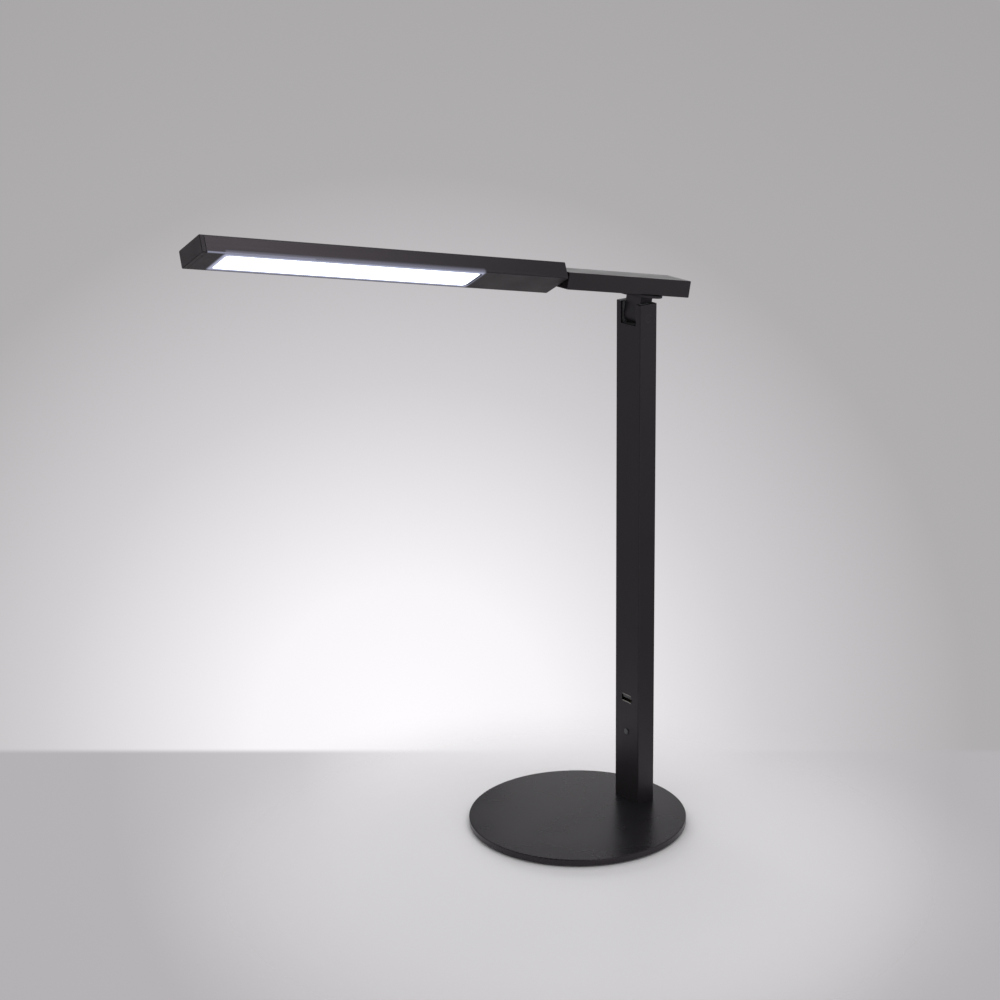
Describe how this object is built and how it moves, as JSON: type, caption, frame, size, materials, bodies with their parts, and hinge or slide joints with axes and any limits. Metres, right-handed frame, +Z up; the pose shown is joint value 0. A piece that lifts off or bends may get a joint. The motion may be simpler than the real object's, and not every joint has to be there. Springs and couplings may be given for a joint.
{
  "type": "led table lamp",
  "caption": "Black LED table lamp: thin round base, rectangular post with charging socket and push button, an arm that tilts and swivels, and a long flat light head that rolls.",
  "frame": {"origin": "under the middle of the round base, at the level of the table it stands on", "axes": "+X the way the arm and light head reach, +Y the side where the head's edge is rolled up, +Z up"},
  "size_m": [0.4437, 0.18, 0.5363],
  "materials": {
    "base_black": "satin",
    "cast_black": "satin",
    "extrusion_black": "satin",
    "plastic_black": "satin",
    "pad": "matte",
    "steel": "satin",
    "button_metal": "satin",
    "gilt": "satin",
    "washer": "matte",
    "board": "satin",
    "led_substrate": "satin",
    "electronics": "matte",
    "lead": "matte",
    "opal": "satin",
    "white_reflector": "gloss",
    "diode": "satin"
  },
  "bodies": {
    "stand": {"base_plate": "base_black", "base_pad": "pad", "base_screws": "steel", "post_tube": "extrusion_black", "post_foot": "cast_black", "foot_screws": "cast_black", "fork_insert": "cast_black", "tilt_pin": "cast_black", "tilt_washers": "washer", "power_board": "board", "power_parts": "electronics", "usb_shell": "steel", "usb_tongue": "plastic_black", "usb_contacts": "gilt", "inlet_body": "plastic_black", "inlet_pin": "steel", "switch_body": "electronics", "post_wire": "lead"},
    "button": {"button_cap": "button_metal", "switch_plunger": "electronics"},
    "knuckle": {"knuckle": "cast_black", "swivel_spindle": "steel", "swivel_washer": "washer", "swivel_spring": "steel", "swivel_nut": "steel"},
    "arm": {"arm_shell": "cast_black", "arm_floor": "base_black", "arm_screws": "cast_black", "roll_block": "cast_black", "arm_wire": "lead"},
    "head": {"roll_shaft": "steel", "roll_spring": "steel", "roll_nut": "steel", "head_housing": "extrusion_black", "head_cover": "plastic_black", "tip_cap": "plastic_black", "rear_block": "cast_black", "rear_screws": "steel", "diffuser": "opal", "reflector": "white_reflector", "led_board": "led_substrate", "leds": "diode", "driver_board": "board", "driver_parts": "electronics", "head_wire": "lead"}
  },
  "joints": [
    {"name": "arm_tilt", "type": "hinge", "parent": "stand", "child": "knuckle", "pos_m": [-0.0604, 0, 0.421], "axis": [0, -1, 0], "range_deg": [-95.9, 29.1]},
    {"name": "arm_swivel", "type": "hinge", "parent": "knuckle", "child": "arm", "pos_m": [-0.06517, 0, 0.44579], "axis": [-0.1891, 0, 0.982], "range_deg": [-90, 90]},
    {"name": "head_roll", "type": "hinge", "parent": "arm", "child": "head", "pos_m": [0.01937, 0, 0.46208], "axis": [0.982, 0, 0.1891], "range_deg": [-122.5, 57.5]},
    {"name": "button_press", "type": "slide", "parent": "stand", "child": "button", "axis": [-1, 0, 0], "range_m": [0, 0.0006], "stiffness_N_per_m": 2000, "springref_m": -0.0003}
  ]
}
